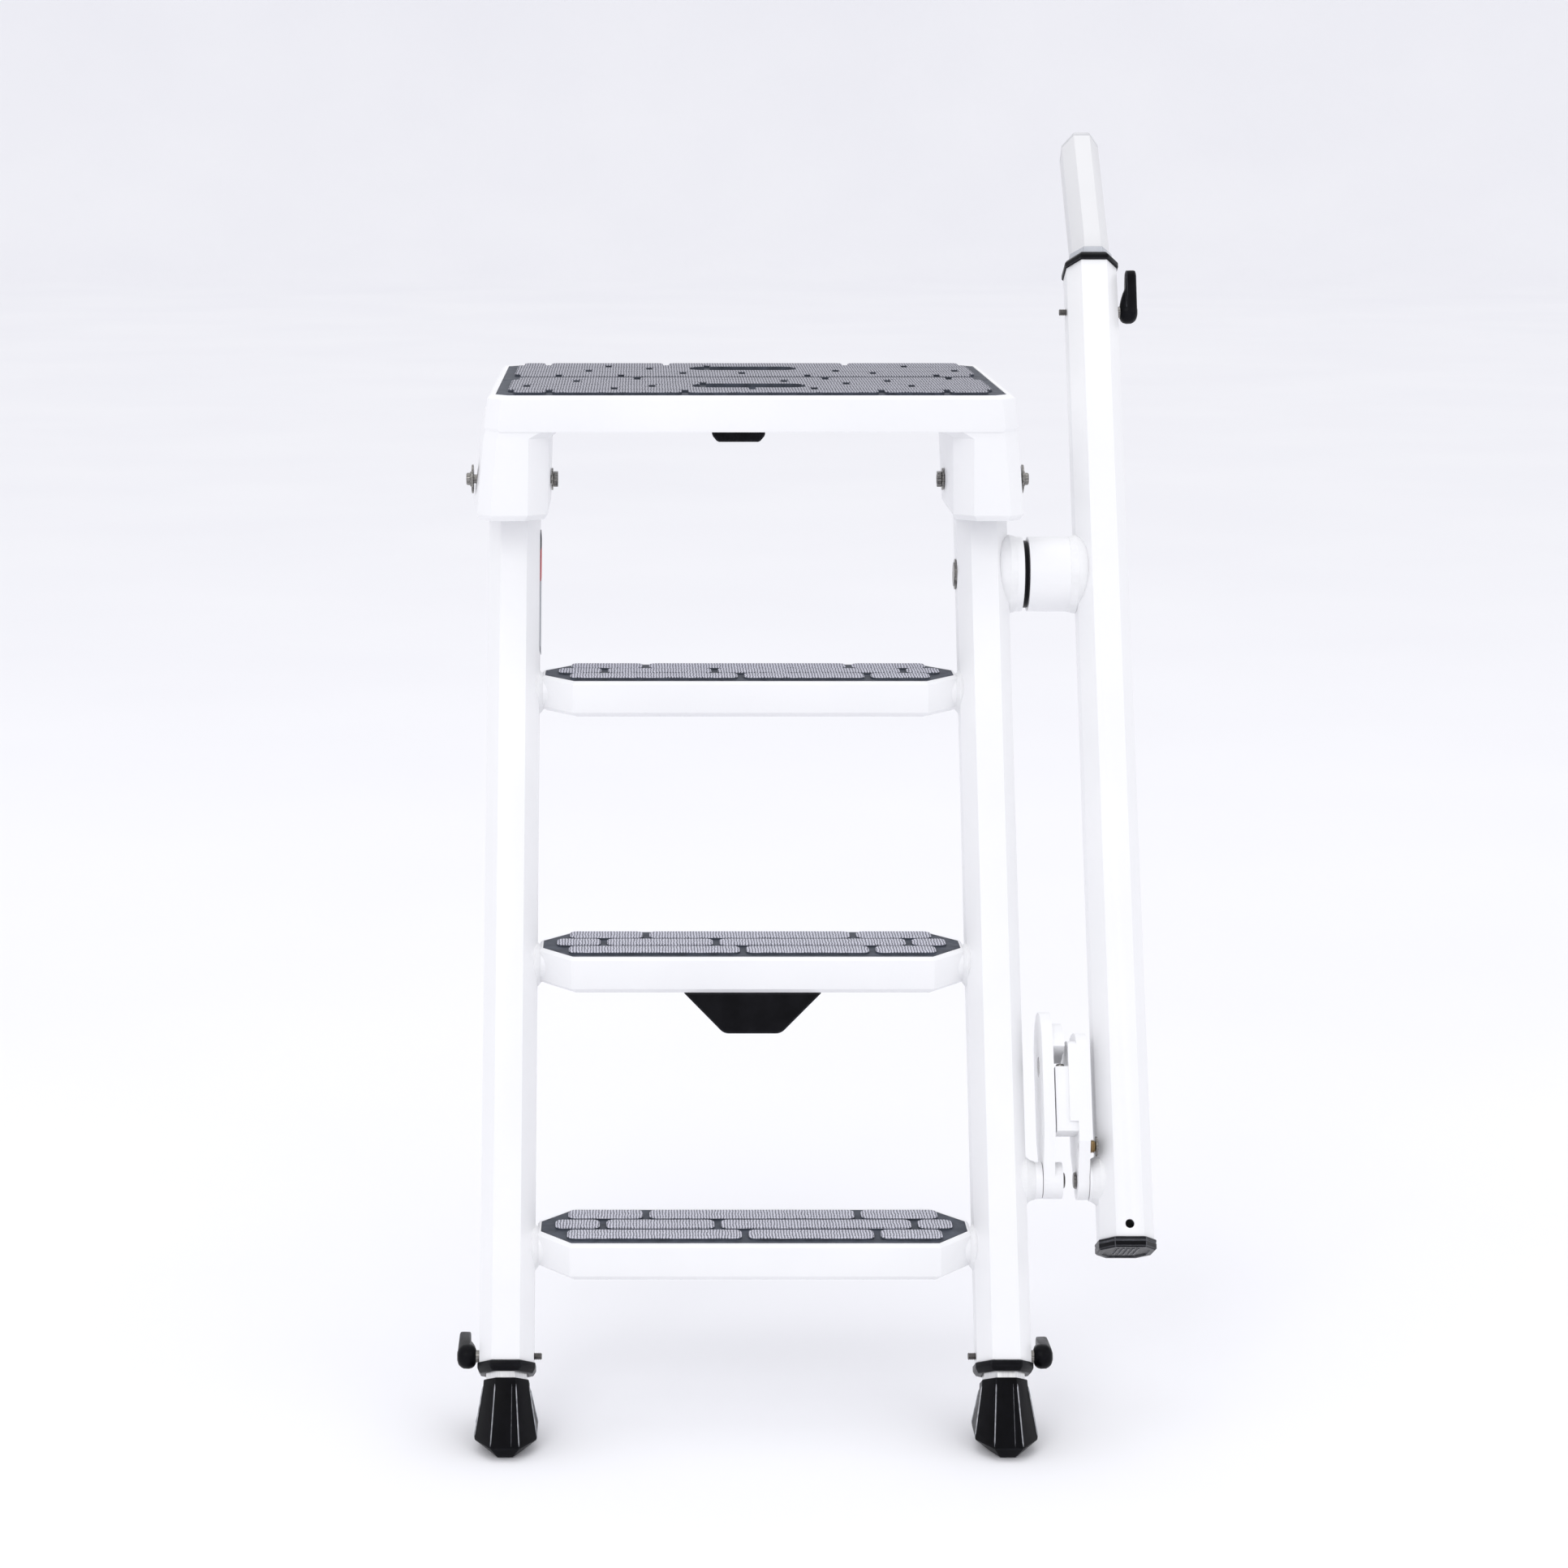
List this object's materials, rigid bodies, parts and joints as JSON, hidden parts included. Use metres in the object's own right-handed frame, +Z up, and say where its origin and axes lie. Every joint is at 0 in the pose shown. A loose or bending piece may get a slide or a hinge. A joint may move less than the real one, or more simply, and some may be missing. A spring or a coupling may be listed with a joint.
{
  "type": "mounting block",
  "caption": "Leaning step ladder mounting block with matted treads, a topped platform, telescoping feet and a swinging, extending handrail.",
  "frame": {"origin": "middle of the whole object's width and depth, on the floor plane that the rubber feet stand on", "axes": "+Z up, +X across the ladder towards the handrail, +Y from the user's side towards the back that the ladder leans to"},
  "size_m": [0.6022, 0.6582, 1.0614],
  "materials": {
    "powder_coat": "white satin powder coat",
    "black_plastic": "moulded black nylon",
    "boot_rubber": "moulded black rubber",
    "mat_rubber": "grey textured rubber matting",
    "stainless_steel": "bright stainless steel",
    "bare_aluminium": "satin anodised",
    "grey_plastic": "moulded light grey nylon",
    "brass": "plain turned brass",
    "label_film": "plain printed film"
  },
  "bodies": {
    "frame": {"platform_casting": "powder_coat", "platform_mat_front": "mat_rubber", "platform_mat_rear": "mat_rubber", "platform_bumper": "black_plastic", "left_leg": "powder_coat", "right_leg": "powder_coat", "tread_upper": "powder_coat", "tread_middle": "powder_coat", "tread_lower": "powder_coat", "tread_mat_upper": "mat_rubber", "tread_mat_middle": "mat_rubber", "tread_mat_lower": "mat_rubber", "tread_bumper": "black_plastic", "left_leg_collar": "black_plastic", "right_leg_collar": "black_plastic", "left_socket_bolt": "stainless_steel", "right_socket_bolt": "stainless_steel", "left_outer_washer": "stainless_steel", "right_outer_washer": "stainless_steel", "left_inner_washer": "stainless_steel", "right_inner_washer": "stainless_steel", "left_socket_nut": "stainless_steel", "right_socket_nut": "stainless_steel", "leg_pivot_boss": "powder_coat", "pivot_washer": "black_plastic", "pivot_axle": "stainless_steel", "pivot_axle_washer": "stainless_steel", "leg_brace_lug": "powder_coat", "brace_leg_pin": "stainless_steel", "leg_label": "label_film"},
    "left_foot": {"left_inner_tube": "bare_aluminium", "left_boot": "boot_rubber"},
    "right_foot": {"right_inner_tube": "bare_aluminium", "right_boot": "boot_rubber"},
    "left_clamp": {"left_knob": "black_plastic", "left_knob_screw": "stainless_steel"},
    "right_clamp": {"right_knob": "black_plastic", "right_knob_screw": "stainless_steel"},
    "rail": {"rail_lower_tube": "powder_coat", "rail_end_cap": "black_plastic", "rail_collar": "black_plastic", "rail_pivot_boss": "powder_coat", "rail_brace_lug": "powder_coat", "brace_rail_pin": "stainless_steel"},
    "rail_upper": {"rail_upper_tube": "powder_coat", "rail_top_cap": "grey_plastic"},
    "rail_clamp": {"rail_knob": "black_plastic", "rail_knob_screw": "stainless_steel"},
    "leg_link": {"brace_link_leg": "powder_coat", "brace_middle_pin": "stainless_steel"},
    "rail_link": {"brace_link_rail": "powder_coat", "brace_stop_screw": "stainless_steel", "plunger_bushing": "brass"},
    "plunger": {"plunger_pin": "stainless_steel"}
  },
  "joints": [
    {"name": "left_foot_slide", "type": "slide", "parent": "frame", "child": "left_foot", "axis": [0, -0.4493, -0.8934], "range_m": [0, 0.1]},
    {"name": "right_foot_slide", "type": "slide", "parent": "frame", "child": "right_foot", "axis": [0, -0.4493, -0.8934], "range_m": [0, 0.1]},
    {"name": "left_clamp_turn", "type": "hinge", "parent": "frame", "child": "left_clamp", "pos_m": [-0.2574, -0.26538, 0.06656], "axis": [1, 0, 0], "continuous": true},
    {"name": "right_clamp_turn", "type": "hinge", "parent": "frame", "child": "right_clamp", "pos_m": [0.1546, -0.26538, 0.06656], "axis": [1, 0, 0], "continuous": true},
    {"name": "rail_swing", "type": "hinge", "parent": "frame", "child": "rail", "pos_m": [0.2146, 0.04317, 0.68003], "axis": [1, 0, 0], "range_deg": [0, 20]},
    {"name": "rail_extend", "type": "slide", "parent": "rail", "child": "rail_upper", "axis": [0, 0.4493, 0.8934], "range_m": [0, 0.15]},
    {"name": "rail_clamp_turn", "type": "hinge", "parent": "rail", "child": "rail_clamp", "pos_m": [0.2601, 0.15518, 0.90275], "axis": [1, 0, 0], "continuous": true},
    {"name": "leg_link_fold", "type": "hinge", "parent": "frame", "child": "leg_link", "pos_m": [0.1916, -0.19924, 0.19806], "axis": [1, 0, 0], "range_deg": [-65, 0]},
    {"name": "rail_link_fold", "type": "hinge", "parent": "rail", "child": "rail_link", "pos_m": [0.2299, -0.19924, 0.19806], "axis": [1, 0, 0], "range_deg": [0, 65]},
    {"name": "plunger_pull", "type": "slide", "parent": "rail_link", "child": "plunger", "axis": [1, 0, 0], "range_m": [0, 0.002], "stiffness_N_per_m": 800, "springref_m": -0.001}
  ],
  "couplings": [
    {"joint": "leg_link_fold", "follows": "rail_swing", "ratio": -3.25},
    {"joint": "rail_link_fold", "follows": "rail_swing", "ratio": 3.25}
  ]
}
